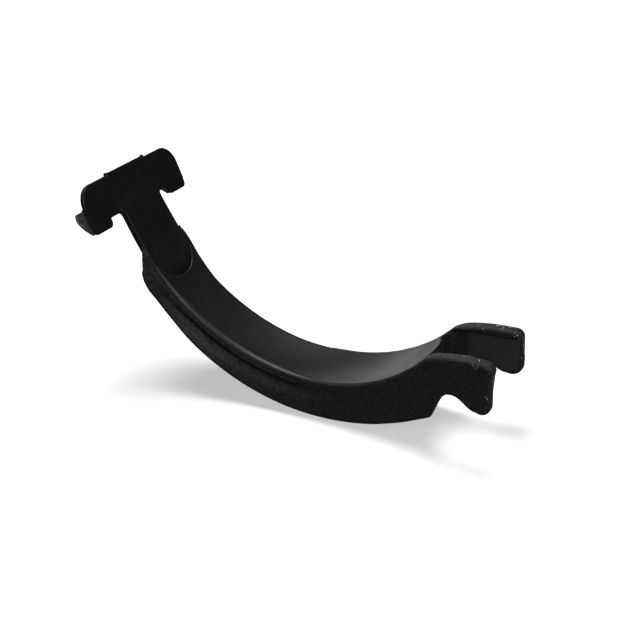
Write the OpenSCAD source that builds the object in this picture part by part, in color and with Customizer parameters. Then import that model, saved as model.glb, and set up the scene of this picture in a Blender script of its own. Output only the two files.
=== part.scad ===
// Violin shoulder rest with a sliding hooked foot and a forked tail.
// Drawn in millimetres, +Z up, +X towards the fork, mirrored about the plane y = 0.
// The origin is the middle of the base, on the plane the pad rests on.
// In names, _hw is a half width, _t a thickness, _d a diameter or depth, _r a radius.

/* [Frame] */
// Radius of the saddle surface on the foot side
saddle_r1 = 120; // [119:0.5:121]
// Radius of the saddle surface on the fork side
saddle_r2 = 90; // [89:0.5:91]
// Radius of the underside on the foot side
under_r1 = 135; // [134.5:0.5:136]
// Radius of the underside on the fork side
under_r2 = 122; // [121.5:0.5:123]
// Half width of the top edge beside the neck
top_hw1 = 19; // [19:0.1:19.6]
// Half width of the top edge beside the fork
top_hw2 = 22.5; // [22:0.1:23]
// Half width of the lower flange on the foot side
flange_hw = 24.5; // [24:0.1:26]
// Height of the lower flange
flange_h = 6; // [5:0.5:7]
// Thickness of the saddle cover
cover_t = 3; // [2.8:0.1:3.2]

/* [Fork] */
// Half width of the open slot between the ears
slot_hw = 16.5; // [16:0.1:17]
// Half width of the slot at the thicker upper rim
rim_hw = 15; // [14.6:0.1:15.4]
// Height above the frame's lowest line at which the upper rim starts
rim_z = 48; // [47.8:0.1:48.5]
// Thickness of a rubber grip
grip_t = 1.7; // [1.6:0.1:1.8]
// Angle by which each ear turns outward, in degrees
ear_flare = 7.7; // [7.3:0.1:8]

/* [Pad] */
// Depth of the recess that the pad sits in
recess_d = 5.5; // [5.5:0.1:5.7]
// How far the foam stands out of the recess
pad_proud = 1.5; // [1:0.1:2]
// Half width of the foam
pad_hw = 19.3; // [18.5:0.1:19.3]
// Thickness of the backing board
backing_t = 1; // [0.8:0.1:1]

/* [Foot] */
// Slope of the neck and its tongue below the horizontal, in degrees
neck_slope = 56; // [55.8:0.1:56.2]
// Lean of the head plate away from the fork, in degrees
head_lean = 23.9; // [23:0.1:24.5]
// Width of the head plate
head_w = 90; // [88:1:92]
// Height of the head plate between the corner tabs and the top edge
head_h = 21.6; // [21.4:0.1:22]
// Thickness of the head plate
head_t = 2.5; // [2.5:0.1:2.6]
// Thickness of the neck
neck_t = 4; // [3.9:0.05:4]
// Half width of the neck at its base
neck_hw = 18.5; // [18:0.1:18.5]
// Half width of the tongue that slides inside the frame
tongue_hw = 16; // [15.5:0.1:16]
// Length of the tongue inside the frame with the foot pushed in
tongue_l = 28; // [26:0.5:28]
// Depth of the scoop along the neck
scoop = 1.2; // [1.1:0.05:1.25]
// Height of the ridge on the top edge of the head plate
ridge_h = 0.9; // [0.7:0.1:1.1]
// Travel of the foot
foot_travel = 12; // [8:1:12]

/* [Clamp] */
// Thickness of the sliding clamp plate
slider_t = 1.55; // [1.5:0.05:1.55]
// How far the tips of the hooks stand behind the face of the head plate
lip_reach = 11; // [10.6:0.1:11.4]
// Thickness of the hook lips
lip_t = 1.5; // [1.4:0.1:1.6]
// Travel of the clamp plate
clamp_travel = 4; // [3:0.5:4]

/* [Lock] */
// Diameter of the lock screw's thread
screw_d = 4.9; // [4.7:0.1:4.9]
// Diameter of the lock knob
knob_d = 14; // [12:0.5:14]

/* [Hidden] */

black = [0.05, 0.05, 0.055];
dark = [0.10, 0.10, 0.105];
rubber = [0.16, 0.16, 0.17];
steel = [0.62, 0.63, 0.65];
brass = [0.78, 0.62, 0.30];
foam = [0.13, 0.13, 0.14];
ivory = [0.85, 0.85, 0.82];

// Stations x run from the foot end, heights z from the frame's lowest line.
middle_x = 112.228;
saddle_low_z = 20;
// centres of the saddle and underside arcs, foot side and fork side
saddle_c1 = [125, saddle_low_z + saddle_r1];
saddle_c2 = [125, saddle_low_z + saddle_r2];
under_c1 = [135, under_r1];
under_c2 = [135, under_r2];
// origins of the sloping frames
neck_origin = [29.5, 0, 66];
head_origin = [1.1, 0, 114.5];

gap = 0.05;
// the web is the floor between the pad recess and the hollow
web_t = 3;
web_top = recess_d + web_t;
hollow_hw = 15.5;
spine_t = 1.2;
spine_hw = 5.5;
// station and half width where the top edge bends between neck and fork
mid_x = 118;
mid_hw = 21.2;
// station where the ears start to turn outward
flare_x = 188;
// round end of the saddle between the ears
saddle_end_x = 152;
saddle_end_r = 36;

// places of the fasteners along the frame
cover_screw_x = [85, 165];
cover_screw_y = 10.5;
spine_screw_x = [112, 146];
stud_x = [100, 150];
stud_y = 12.8;
stud_hole_d = 4.06;

// places and sizes along the tongue, in the neck frame
lock_x = 14;
nut_d = 8;
shoe_d = 6;
knob_z = -13.5;
knob_hex_r = 4.4;
pin_x = 8;
pin_y = 9;
pin_d = 3;
pin_slot_d = pin_d + 0.3;
guide_x = 1;
guide_l = 25;
guide_w = 1.8;
scoop_r = 107;

// places and sizes on the head plate, in the head frame
corner_r = 11;
boss_y = 22;
boss_h = -11;
boss_d = 4.6;
boss_slot_d = boss_d + 0.2;
spring_y = 9.7;
spring_w = 5.6;
peg_w = 5;
hook_y = 36.6;
hook_hw = 7.5;

// ---- Curves ----

function arc(centre, radius, start, end, n = 18) =
    [for (i = [0:n]) let (a = start + (end - start) * i / n)
        [centre[0] + radius * cos(a), centre[1] + radius * sin(a)]];
function reversed(points) = [for (i = [len(points) - 1:-1:0]) points[i]];
// a half outline, mirrored across the middle line
function mirrored(points) = concat([for (p = points) [p[0], -p[1]]], reversed(points));

// angle on an arc, below its centre, at the station x
function angle_at(centre, radius, x) =
    x < centre[0] ? 180 + acos((centre[0] - x) / radius) : 360 - acos((x - centre[0]) / radius);
// height of an arc, below its centre, at the station x
function arc_z(centre, radius, x) = centre[1] - sqrt(pow(radius, 2) - pow(x - centre[0], 2));

// height of the saddle surface, and of the underside, sunk by depth into the body
function saddle_z(x, depth) = x < saddle_c1[0]
    ? arc_z(saddle_c1, saddle_r1 + depth, x) : arc_z(saddle_c2, saddle_r2 + depth, x);
function under_z(x, depth) = x < under_c1[0]
    ? arc_z(under_c1, under_r1 - depth, x) : arc_z(under_c2, under_r2 - depth, x);

// the same two curves as points, from station x0 to station x1
function saddle(depth, x0, x1) = let (r1 = saddle_r1 + depth, r2 = saddle_r2 + depth)
    concat(arc(saddle_c1, r1, angle_at(saddle_c1, r1, x0), 270),
           arc(saddle_c2, r2, 270, angle_at(saddle_c2, r2, x1)));
// the underside keeps the end angles of its unsunk curve
function under(depth, x0, x1) =
    concat(arc(under_c1, under_r1 - depth, angle_at(under_c1, under_r1, x0), 270),
           arc(under_c2, under_r2 - depth, 270, angle_at(under_c2, under_r2, x1)));
function under_band(depth0, depth1, x0, x1) =
    concat(under(depth0, x0, x1), reversed(under(depth1, x0, x1)));

// half width at the station x of a line that turns outward with the ear
function flared(hw, x) = hw + (x - flare_x) * tan(ear_flare);

// ---- Placing and shaping helpers ----

module place() { translate([-middle_x, 0, pad_proud]) children(); }
// x runs down the tongue, z points out of the saddle
module neck_frame() { translate(neck_origin) rotate([0, neck_slope, 0]) children(); }
module lock_frame() { neck_frame() translate([lock_x, 0, 0]) children(); }
// x is the front normal of the head plate, towards the fork, z runs up its face
module head_frame() { translate(head_origin) rotate([0, -head_lean, 0]) children(); }
// frame of the +Y ear, turned outward about the inner edge of its root
module ear_frame() {
    translate([flare_x, slot_hw, 0]) rotate([0, 0, ear_flare]) translate([-flare_x, -slot_hw, 0])
        children();
}
module both() {
    children();
    mirror([0, 1, 0]) children();
}
// axes of the two bosses of the head plate, starting at x
module at_bosses(x) { both() translate([x, boss_y, boss_h]) rotate([0, 90, 0]) children(); }

module rod(d, h, facets = 32) { cylinder(d = d, h = h, $fn = facets); }
// extrudes a side view, drawn as x and z, across the width
module side(hw) { rotate([90, 0, 0]) linear_extrude(2 * hw, center = true) children(); }
// extrudes a plan through the height of the frame
module tall(h = 120) { translate([0, 0, -20]) linear_extrude(h) children(); }
// turns a drawing of y and height into a plate whose front is at x = 0
module plate(t) { translate([-t, 0, 0]) rotate([90, 0, 90]) linear_extrude(t) children(); }

// ---- Frame ----

// plan of the top edges: narrow at the neck, wide at the fork
module plan() {
    polygon(mirrored([[10, top_hw1], [29, top_hw1], [mid_x, mid_hw],
        [flare_x, top_hw2], [240, flared(top_hw2, 240)]]));
}

// side view of the frame with its lobed ears
module frame_side() {
    polygon(concat(
        saddle(0, 29.4, 191),
        // top of the ear and its rounded end
        [[196.6, 50.3], [205.3, 51.9], [212, 52.6], [223, 52.6]],
        arc([223.4, 48.4], 4.2, 84, 0, 8),
        [[227.7, 43], [227.8, 36]],
        arc([222.3, 31.3], 5.4, 0, -110, 8),
        // lower edge of the ear, back to the underside
        [[218, 25.8], [214.6, 27], [208.9, 30.9], [205.9, 31.4],
         [202.9, 30.9], [200.5, 29], [197.6, 22.6], [194.4, 15.4]],
        reversed(under(0, 24, 194.2))));
}

// lower flange, widest on the foot side
module lower_flange() {
    intersection() {
        side(30) polygon(under_band(0, flange_h, 24, 170));
        tall() polygon(mirrored([[10, flange_hw - 1], [60, flange_hw], [110, flange_hw],
            [172, 22]]));
    }
}

// cheeks beside the neck, leaning out towards the flange
module cheeks() {
    both() intersection() {
        side(40) polygon([[24.05, 58.1], [21.3, 77.3], [22.1, 78],
            [31.8, 64.3], [40, 53.2], [31, 50.6]]);
        translate([10, 19.3, 78]) rotate([12.4, 0, 0]) translate([0, -6, -45]) cube([40, 6, 50]);
    }
}

module saddle_end() {
    translate([saddle_end_x, 0, -30]) cylinder(r = saddle_end_r, h = 120, $fn = 96);
}

// opening between the ears, with the convex end of the saddle left standing
module fork_slot(hw) {
    difference() {
        tall(100) polygon(mirrored([[183, hw], [flare_x, hw], [240, flared(hw, 240)]]));
        saddle_end();
    }
}

// plan of the cover: full width at the neck, set in from the edge towards the fork;
// a positive grow widens it for cutting, by just 0.02 where the frame's rim stands beside it
module cover_plan(grow) {
    clearance = grow > 0 ? 0.02 : 0;
    inset_hw = top_hw2 - 1.5 + clearance;
    polygon(mirrored(concat(
        [[10, top_hw1 + grow], [29, top_hw1 + grow]],
        grow > 0 ? [[mid_x, mid_hw + grow]] : [],
        [[mid_x, mid_hw + clearance], [130, 20 + clearance],
         [flare_x, inset_hw], [200, inset_hw]])));
}

// space that the cover takes up, raised and widened by extra when it is cut away
module cover_space(depth, extra) {
    intersection() {
        side(40) polygon(concat(saddle(-extra, 24, 191), reversed(saddle(depth, 24, 191))));
        tall() cover_plan(extra);
        union() {
            translate([10, -40, -20]) cube([174, 80, 120]);
            intersection() {
                saddle_end();
                translate([180, -slot_hw, -20]) cube([20, 2 * slot_hw, 120]);
            }
        }
    }
}

// channel for the tongue, with pockets for its guides and bores for the lock and the pin
module tongue_channel() {
    floor_z = -neck_t - gap;
    neck_frame() {
        translate([-20, -tongue_hw - gap, floor_z])
            cube([20 + tongue_l + 1, 2 * tongue_hw + 2 * gap, 14]);
        translate([-30, -neck_hw - 0.15, floor_z]) cube([30.3, 2 * neck_hw + 0.3, 20]);
        both() translate([guide_x, tongue_hw, floor_z]) cube([guide_l, guide_w, 12]);
        translate([lock_x, 0, -20]) rod(nut_d + 0.02, 14, 48);
        translate([lock_x, 0, -6.1]) rod(shoe_d + 0.1, 3.6, 48);
        translate([pin_x, pin_y, -20]) rod(pin_d + 0.02, 22);
    }
}

// slot between the ears, wider below the rim, with shallow seats for the grips
module fork_cuts() {
    fork_slot(rim_hw);
    intersection() {
        fork_slot(slot_hw);
        translate([183, -40, -20]) cube([60, 80, 20 + rim_z]);
    }
    both() ear_frame() translate([0, slot_hw + 0.75, 0]) side(0.8) polygon(grip_outline(0.1));
}

module stud_holes() {
    for (x = stud_x) both() translate([x, stud_y, -5]) rod(stud_hole_d, 25);
}

module web_holes() {
    for (x = cover_screw_x) both() translate([x, cover_screw_y, 0]) {
        translate([0, 0, -5]) rod(3.2, 40);
        // counterbore for the screw head
        translate([0, 0, -10]) rod(4.7, 10 + under_z(x, recess_d) + 1.94);
    }
    stud_holes();
    for (x = spine_screw_x) translate([x, 0, under_z(x, recess_d) + 0.6]) rod(2.5, 20);
}

module frame_shell() {
    color(black) place() difference() {
        union() {
            intersection() {
                side(30) frame_side();
                tall() plan();
            }
            lower_flange();
            cheeks();
        }
        cover_space(cover_t + 0.02, 4);
        // hollow between the web and the cover
        side(hollow_hw) polygon(concat(saddle(1, 54, 180.5), reversed(under(web_top, 58, 180.5))));
        // recess for the pad
        side(pad_hw + 0.3) polygon(under_band(-4, recess_d, 62, 184));
        tongue_channel();
        fork_cuts();
        web_holes();
    }
}

module saddle_cover() {
    wide_z = -12;
    wide_h = 12 - scoop + 0.1;
    color(dark) place() difference() {
        union() {
            cover_space(cover_t, 0);
            // bosses that take the screws
            for (x = cover_screw_x) both()
                translate([x, cover_screw_y, under_z(x, web_top) + 1.6])
                    rod(6.6, saddle_z(x, 2.4) - under_z(x, web_top) - 2.8, 40);
        }
        neck_frame() {
            // rounded mouth that the neck slides out of
            translate([-5.5, 0, -12]) cylinder(r = 17, h = 40, $fn = 96);
            // room for the tongue and its guides
            translate([-30, -tongue_hw - 0.1, wide_z])
                cube([30 + tongue_l + 2, 2 * tongue_hw + 0.2, wide_h]);
            translate([-40, -30, -20]) cube([40, 60, 60]);
            both() translate([-2, tongue_hw, wide_z]) cube([30, 2.2, wide_h]);
        }
        for (x = cover_screw_x) both()
            translate([x, cover_screw_y, 0]) rod(2.6, saddle_z(x, 1.4) - 1.0);
    }
}

// screws that come up through the web into the cover
module cover_screws() {
    color(steel) place() for (x = cover_screw_x) both()
        translate([x, cover_screw_y, under_z(x, recess_d)]) {
            translate([0, 0, 1.02]) rod(4.4, 0.9);
            translate([0, 0, 1.9]) rod(2.5, saddle_z(x, 2.4) - under_z(x, recess_d) - 3.3);
        }
}

// curved strip that lies on the web inside the hollow
module spine_strip() {
    color(steel) place() difference() {
        side(spine_hw) polygon(under_band(web_top + 0.02, web_top + spine_t, 72, 176));
        for (x = spine_screw_x) translate([x, 0, 0]) rod(2.7, 30);
    }
}

module spine_screws() {
    color(steel) place() for (x = spine_screw_x) {
        translate([x, 0, under_z(x, recess_d) + 1]) rod(2.4, 5.2);
        // 4.2 sets the head a little above the strip
        translate([x, 0, under_z(x, recess_d + 4.2) + 0.55]) rod(5, 1.4);
    }
}

// ---- Pad ----

module pad_backing() {
    color(dark) place() difference() {
        side(pad_hw + 0.1)
            polygon(under_band(recess_d - backing_t, recess_d - 0.03, 62.4, 183.6));
        stud_holes();
    }
}

module shoulder_pad() {
    color(foam) place() side(pad_hw)
        polygon(under_band(-pad_proud, recess_d - backing_t - 0.03, 62.5, 183.5));
}

// push studs that hold the backing board on the web
module pad_studs() {
    color(dark) place() for (x = stud_x) both() translate([x, stud_y, 0]) {
        translate([0, 0, under_z(x, recess_d - 0.25)])
            rod(4, under_z(x, web_top) - under_z(x, recess_d) + 1.8);
        translate([0, 0, under_z(x, web_top) + 0.9]) rod(5, 0.9);
    }
}

// ---- Fork grips ----

// side outline of a grip, which follows the lobe of the ear, enlarged by grow
function grip_outline(grow) = let (top = rim_z - 0.6 + grow) concat(
    [[199.5 - grow, 35], [199.5 - grow, top], [226.4 + grow, top], [226.4 + grow, 34]],
    arc([222.6, 32.2], 3.8 + grow, 0, -100, 6),
    [[218.4, 28.2 - grow], [215.2, 29.4 - grow], [210.2, 32.9 - grow],
     [206, 33.7 - grow], [202.6, 33.3 - grow]]);

module fork_grip() {
    color(rubber) place() ear_frame() translate([0, slot_hw + 1.5 - grip_t / 2, 0])
        side(grip_t / 2) polygon(grip_outline(0));
}
// near is the -Y ear, far the +Y ear
module fork_grip_near() { mirror([0, 1, 0]) fork_grip(); }
module fork_grip_far() { fork_grip(); }

// ---- Slide and lock ----

module slide_guides() {
    color(dark) place() neck_frame() both()
        translate([guide_x + 0.1, tongue_hw + gap, -neck_t])
            cube([guide_l - 0.2, guide_w - 0.1, neck_t - scoop]);
}

module lock_nut() {
    color(brass) place() lock_frame() difference() {
        translate([0, 0, -8.2]) rod(nut_d, 2.15, 48);
        translate([0, 0, -9]) rod(screw_d + 0.1, 5, 48);
    }
}

module pressure_shoe() {
    color(ivory) place() lock_frame() translate([0, 0, -5.1]) rod(shoe_d, 1.02, 48);
}

module stop_pin() {
    color(steel) place() neck_frame() translate([pin_x, pin_y, -8]) rod(pin_d, 6.6);
}

module lock_screw() {
    color(steel) place() lock_frame() {
        translate([0, 0, -12]) rod(screw_d, 6.85, 48);
        translate([0, 0, knob_z]) cylinder(r = knob_hex_r, h = 2, $fn = 6);
    }
}

module lock_knob() {
    color(black) place() lock_frame() difference() {
        translate([0, 0, knob_z]) rod(knob_d, 4.2, 64);
        translate([0, 0, knob_z - 0.5]) {
            rod(screw_d + 0.1, 6, 48);
            cylinder(r = knob_hex_r + 0.06, h = 2.54, $fn = 6);
            // notches round the edge
            for (i = [0:11]) rotate([0, 0, 30 * i]) translate([knob_d / 2 + 0.7, 0, 0])
                rod(2.6, 6, 24);
        }
    }
}

// ---- Foot ----

// outline of the head plate, drawn as y and height on its face
module head_outline() {
    hw = head_w / 2;
    translate([-hw, -head_h]) square([head_w, head_h - corner_r]);
    translate([-hw + corner_r, -head_h]) square([head_w - 2 * corner_r, head_h]);
    for (s = [-1, 1]) {
        translate([s * (hw - corner_r), -corner_r]) circle(r = corner_r, $fn = 64);
        // tabs at the lower corners
        translate([s * (hw - 3.4), -23.3]) circle(r = 3, $fn = 32);
        translate([s * 30.1, -24.3]) circle(r = 2, $fn = 32);
        translate([s * 36.35 - 8.25, -24]) square([16.5, 8]);
        translate([s * 35.85 - 5.75, -26.3]) square([11.5, 8]);
        // nibs at the ends of the ridge
        translate([s * 17.5 - 0.8, -1]) square([1.6, 1.5 + ridge_h]);
    }
    translate([-17.4, -1]) square([34.8, 1 + ridge_h]);
}

// neck, trimmed to the head plate and scooped along its upper face
module neck() {
    difference() {
        neck_frame() translate([-37, 0, -neck_t]) linear_extrude(neck_t)
            polygon(mirrored([[0, 17], [37, neck_hw]]));
        head_frame() {
            translate([-20 - head_t, -60, -24.6]) cube([20, 120, 60]);
            translate([-0.01, -60, -21]) cube([20, 120, 60]);
        }
        neck_frame() translate([-60, 0, scoop_r - scoop]) rotate([0, 90, 0])
            cylinder(r = scoop_r, h = 90, $fn = 180);
    }
}

module foot_arm() {
    color(black) place() difference() {
        union() {
            head_frame() {
                plate(head_t) head_outline();
                at_bosses(-head_t - slider_t - 0.09) rod(boss_d, 3, 40);
                // pegs below the springs
                both() translate([-head_t - slider_t, spring_y - peg_w / 2, -17.6])
                    cube([2, peg_w, 2]);
            }
            neck();
            neck_frame() translate([-2, -tongue_hw, -neck_t])
                cube([2 + tongue_l, 2 * tongue_hw, neck_t - scoop]);
        }
        // slot for the stop pin
        neck_frame() {
            for (x = [pin_x, pin_x + foot_travel]) translate([x, pin_y, -20]) rod(pin_slot_d, 30);
            translate([pin_x, pin_y - pin_slot_d / 2, -20]) cube([foot_travel, pin_slot_d, 30]);
        }
        head_frame() at_bosses(-8) rod(2.5, 7);
    }
}

// rounded plate screwed to the bosses, behind the clamp plate
module back_plate() {
    color(steel) place() head_frame() difference() {
        translate([-head_t - slider_t - 0.1, 0, 0]) plate(1) union() {
            translate([-26, -17]) square([52, 13]);
            translate([-24, -19]) square([48, 17]);
            for (y = [-24, 24], h = [-17, -4]) translate([y, h]) circle(r = 2, $fn = 32);
        }
        at_bosses(-8) rod(2.7, 7);
    }
}

module back_plate_screws() {
    color(steel) place() head_frame() at_bosses(0) {
        translate([0, 0, -head_t - slider_t - 1.12]) rod(2.4, head_t + slider_t - 0.4);
        translate([0, 0, -head_t - slider_t - 2.32]) rod(4.4, 1.2);
    }
}

// ---- Clamp ----

// flat serpentine springs between the clamp plate and the pegs on the head plate
module clamp_springs() {
    bars = 4;
    pitch = 7.35 / (bars - 1);
    wire = 0.6;
    top = -8.15;
    inner = spring_y - spring_w / 2;
    outer = inner + spring_w - wire;
    color(steel) place() head_frame() both() translate([-head_t - 0.08, 0, 0]) plate(1.35) {
        for (i = [0:bars - 1]) translate([inner, top - pitch * i]) square([spring_w, wire]);
        for (i = [0:bars - 2]) translate([i % 2 == 0 ? outer : inner, top - pitch * (i + 1)])
            square([wire, pitch + wire]);
    }
}

// side view of one hook, which curls back and up behind the plate
module hook_side() {
    back = -lip_reach;
    front = lip_t - lip_reach;
    polygon([
        // root on the clamp plate
        [-head_t - 0.7, -22], [-head_t - 0.7, -25.5],
        // outer face, up to the tip
        [back + 6.8, -25.2], [back + 4.8, -23.3], [back + 2.8, -20.9], [back + 1.2, -18.2],
        [back + 0.4, -16], [back, -13.9], [back + 0.6, -12.5],
        // inner face, back down
        [front + 0.1, -12.6], [front + 0.2, -14.3], [front + 0.9, -16.8],
        [front + 2.2, -19.3], [front + 3.9, -21.6], [front + 5.4, -23]]);
}

module slider_outline() {
    slot_travel = clamp_travel + 0.1;
    window_w = spring_w + 1;
    difference() {
        union() {
            translate([-38, -20]) square([76, 15]);
            translate([-42, -20]) square([84, 11]);
            for (s = [-1, 1]) {
                translate([s * 38, -9]) circle(r = 4, $fn = 32);
                // tabs that carry the hooks
                translate([s * hook_y - 7.6, -25.6]) square([15.2, 14.8]);
            }
        }
        for (s = [-1, 1]) {
            // windows for the springs
            translate([s * spring_y - window_w / 2, -18.3]) square([window_w, 10.8]);
            // slots for the bosses
            for (h = [boss_h, boss_h + slot_travel])
                translate([s * boss_y, h]) circle(d = boss_slot_d, $fn = 40);
            translate([s * boss_y - boss_slot_d / 2, boss_h]) square([boss_slot_d, slot_travel]);
        }
    }
}

module clamp_slider() {
    color(dark) place() head_frame() {
        translate([-head_t - gap, 0, 0]) plate(slider_t) slider_outline();
        both() translate([0, hook_y, 0]) side(hook_hw) hook_side();
    }
}

// thin liners on the inner faces of the hook lips
module hook_liners() {
    color(rubber) place() head_frame() both() translate([0, hook_y, 0]) side(hook_hw - 0.9)
        translate([lip_t - lip_reach, 0])
            polygon([[0.27, -14.39], [0.91, -16.69], [1.44, -16.54], [0.8, -14.24]]);
}

frame_shell();
saddle_cover();
cover_screws();
spine_strip();
spine_screws();
pad_backing();
shoulder_pad();
pad_studs();
fork_grip_near();
fork_grip_far();
slide_guides();
lock_nut();
pressure_shoe();
stop_pin();
foot_arm();
back_plate();
back_plate_screws();
clamp_springs();
clamp_slider();
hook_liners();
lock_screw();
lock_knob();
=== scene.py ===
"""A curved bar with a clamping foot at one end and a two-eared fork at the other.

The bar lies along X, foot end at low x and fork at high x, and is symmetric about y = 0.
Its hollow upper side (the saddle) carries a cover, its underside a knitted pad. Shapes are drawn
in millimetres (the drawing) as distance fields, negative inside, and meshed into scene metres.
"""
import functools
import math
import bpy
import bmesh
import numpy as np
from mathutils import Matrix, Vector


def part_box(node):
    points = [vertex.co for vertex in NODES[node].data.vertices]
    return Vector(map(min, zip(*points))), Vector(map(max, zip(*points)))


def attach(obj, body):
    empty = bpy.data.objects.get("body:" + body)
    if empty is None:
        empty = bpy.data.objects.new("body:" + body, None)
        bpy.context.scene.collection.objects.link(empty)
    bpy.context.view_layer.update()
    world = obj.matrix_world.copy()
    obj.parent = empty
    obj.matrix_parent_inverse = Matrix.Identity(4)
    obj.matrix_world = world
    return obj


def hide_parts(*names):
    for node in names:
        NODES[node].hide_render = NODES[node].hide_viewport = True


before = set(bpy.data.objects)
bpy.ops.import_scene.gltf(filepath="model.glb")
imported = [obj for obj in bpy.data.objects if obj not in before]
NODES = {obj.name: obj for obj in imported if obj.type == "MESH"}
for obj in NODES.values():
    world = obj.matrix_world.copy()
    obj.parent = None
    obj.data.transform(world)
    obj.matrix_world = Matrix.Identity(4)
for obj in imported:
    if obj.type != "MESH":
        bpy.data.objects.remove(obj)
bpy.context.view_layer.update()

import openvdb
from mathutils import Vector

# ---------------------------------------------------------------- drawing and scene
FRAME_START_X = 21.3        # where the frame's foot end lies in the drawing
frame_low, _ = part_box("frame_shell")
SHIFT = np.array([-(FRAME_START_X - frame_low[0] * 1000.0), 0.0, frame_low[2] * 1000.0])


def to_scene(points):
    """Drawing points in mm as scene positions in metres."""
    return (points + SHIFT) / 1000.0


def to_drawing(points):
    return points * 1000.0 - SHIFT


def read_points(mesh):
    points = np.empty(len(mesh.vertices) * 3)
    mesh.vertices.foreach_get("co", points)
    return points.reshape(-1, 3)


def write_points(mesh, points):
    mesh.vertices.foreach_set("co", points.ravel())
    mesh.update()


def face_outward(mesh):
    bm = bmesh.new()
    bm.from_mesh(mesh)
    bmesh.ops.recalc_face_normals(bm, faces=bm.faces)
    bm.to_mesh(mesh)
    bm.free()


def add_object(name, data):
    ob = bpy.data.objects.new(name, data)
    bpy.context.scene.collection.objects.link(ob)
    return ob


# ---------------------------------------------------------------- driving curves, mm
# Saddle and underside are each two arcs, foot side and fork side, tangent at their lowest point (x, z)
SADDLE_LOW = np.array([125.0, 20.0])
SADDLE_RADII = (120.0, 90.0)
SADDLE_CENTRES = [SADDLE_LOW + (0.0, radius) for radius in SADDLE_RADII]
UNDER_LOW = np.array([135.0, 0.0])
UNDER_RADII = (135.0, 122.0)
UNDER_CENTRES = [UNDER_LOW + (0.0, radius) for radius in UNDER_RADII]

# The neck runs from the foot down into the bar and ends in a tongue
NECK_ORIGIN = (29.5, 66.0)
NECK_SLOPE = math.radians(56.0)
NECK_DOWN = np.array([math.cos(NECK_SLOPE), -math.sin(NECK_SLOPE)])
NECK_OUT = np.array([math.sin(NECK_SLOPE), math.cos(NECK_SLOPE)])
MOUTH = (-5.5, 0.0)         # centre of the round mouth: along the neck, y

# The head plate of the foot leans back towards low x
HEAD_ORIGIN = np.array([1.1, 114.5])
HEAD_LEAN = math.radians(23.9)
HEAD_UP = np.array([-math.sin(HEAD_LEAN), math.cos(HEAD_LEAN)])
HEAD_FRONT = np.array([math.cos(HEAD_LEAN), math.sin(HEAD_LEAN)])

FLARE = math.radians(7.7)   # the ears turn outward by this from FLARE_X on
FLARE_X = 188.0
# Half widths of the bar before the flare: stations x, half widths
TOP_EDGE = ([10, 29, 60, 90, 125, 160, 188, 240],
            [18.9, 19.0, 19.7, 20.4, 21.3, 22.1, 22.5, 22.5])
BOTTOM_EDGE = ([10, 24, 60, 110, 150, 188, 240],
               [23.4, 23.9, 24.5, 24.4, 23.4, 22.7, 22.5])

COVER_THICKNESS = 3.0
COVER_END = 184.0
COVER_GAP = 0.05            # clearance between cover and frame
COVER_SCREWS_X = (85.0, 165.0)
COVER_SCREW_Y = 10.5
NECK_CHANNEL_HALF = 18.56
FAR = 9.0                   # stands for "no limit here" in a field
VERY_FAR = 99.0


# ---------------------------------------------------------------- distance field tools
def ease(start, end, x):
    part = np.clip((x - start) / (end - start), 0.0, 1.0)
    return part * part * (3 - 2 * part)


def overlap(*fields):
    return functools.reduce(np.maximum, fields)


def join(*fields):
    return functools.reduce(np.minimum, fields)


def cut(field, tool):
    return np.maximum(field, -tool)


def soft_join(first, second, reach):
    part = np.clip(0.5 + 0.5 * (second - first) / reach, 0.0, 1.0)
    return second + (first - second) * part - reach * part * (1 - part)


def soft_overlap(first, second, reach):
    return -soft_join(-first, -second, reach)


def radial(x, y, centre=(0.0, 0.0)):
    return np.sqrt((x - centre[0]) ** 2 + (y - centre[1]) ** 2)


def rounded(offsets, radius):
    """Overlap of fields that were each moved inward by radius, with the edges rounded."""
    outside = np.sqrt(sum(np.maximum(offset, 0) ** 2 for offset in offsets))
    return outside + np.minimum(overlap(*offsets), 0) - radius


def box(places, centre, half, radius=0.0):
    """Rounded rectangle or box: coordinate fields, centre and half sizes, one per axis."""
    return rounded([np.abs(place - middle) - (size - radius)
                    for place, middle, size in zip(places, centre, half)], radius)


def extrude(flat, ends, radius):
    """The flat shape made solid between its ends, with rounded edges."""
    return rounded((flat + radius, ends + radius), radius)


def polygon(x, z, points):
    """Signed distance to a closed polygon in the plane of x and z."""
    points = [np.asarray(point, dtype=np.float32) for point in points]
    nearest = np.full(np.broadcast(x, z).shape, 1e12, dtype=np.float32)
    sign = np.ones(nearest.shape, dtype=np.float32)
    for point, previous in zip(points, points[-1:] + points[:-1]):
        edge = previous - point
        from_x = x - point[0]
        from_z = z - point[1]
        part = np.clip((from_x * edge[0] + from_z * edge[1]) / float(edge @ edge), 0, 1)
        gap_x = from_x - edge[0] * part
        gap_z = from_z - edge[1] * part
        nearest = np.minimum(nearest, gap_x * gap_x + gap_z * gap_z)
        above = z >= point[1]
        below = z < previous[1]
        left = edge[0] * from_z > edge[1] * from_x
        crossed = (above & below & left) | (~above & ~below & ~left)
        sign = np.where(crossed, -sign, sign)
    return sign * np.sqrt(nearest)


def arc(centre, radius, start, end, count):
    angles = np.radians(np.linspace(start, end, count))
    return [(centre[0] + radius * math.cos(angle), centre[1] + radius * math.sin(angle))
            for angle in angles]


def samples(start, end, step):
    count = math.ceil((end - start) / step) + 1
    return (start + step * np.arange(count)).astype(np.float32)


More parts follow.
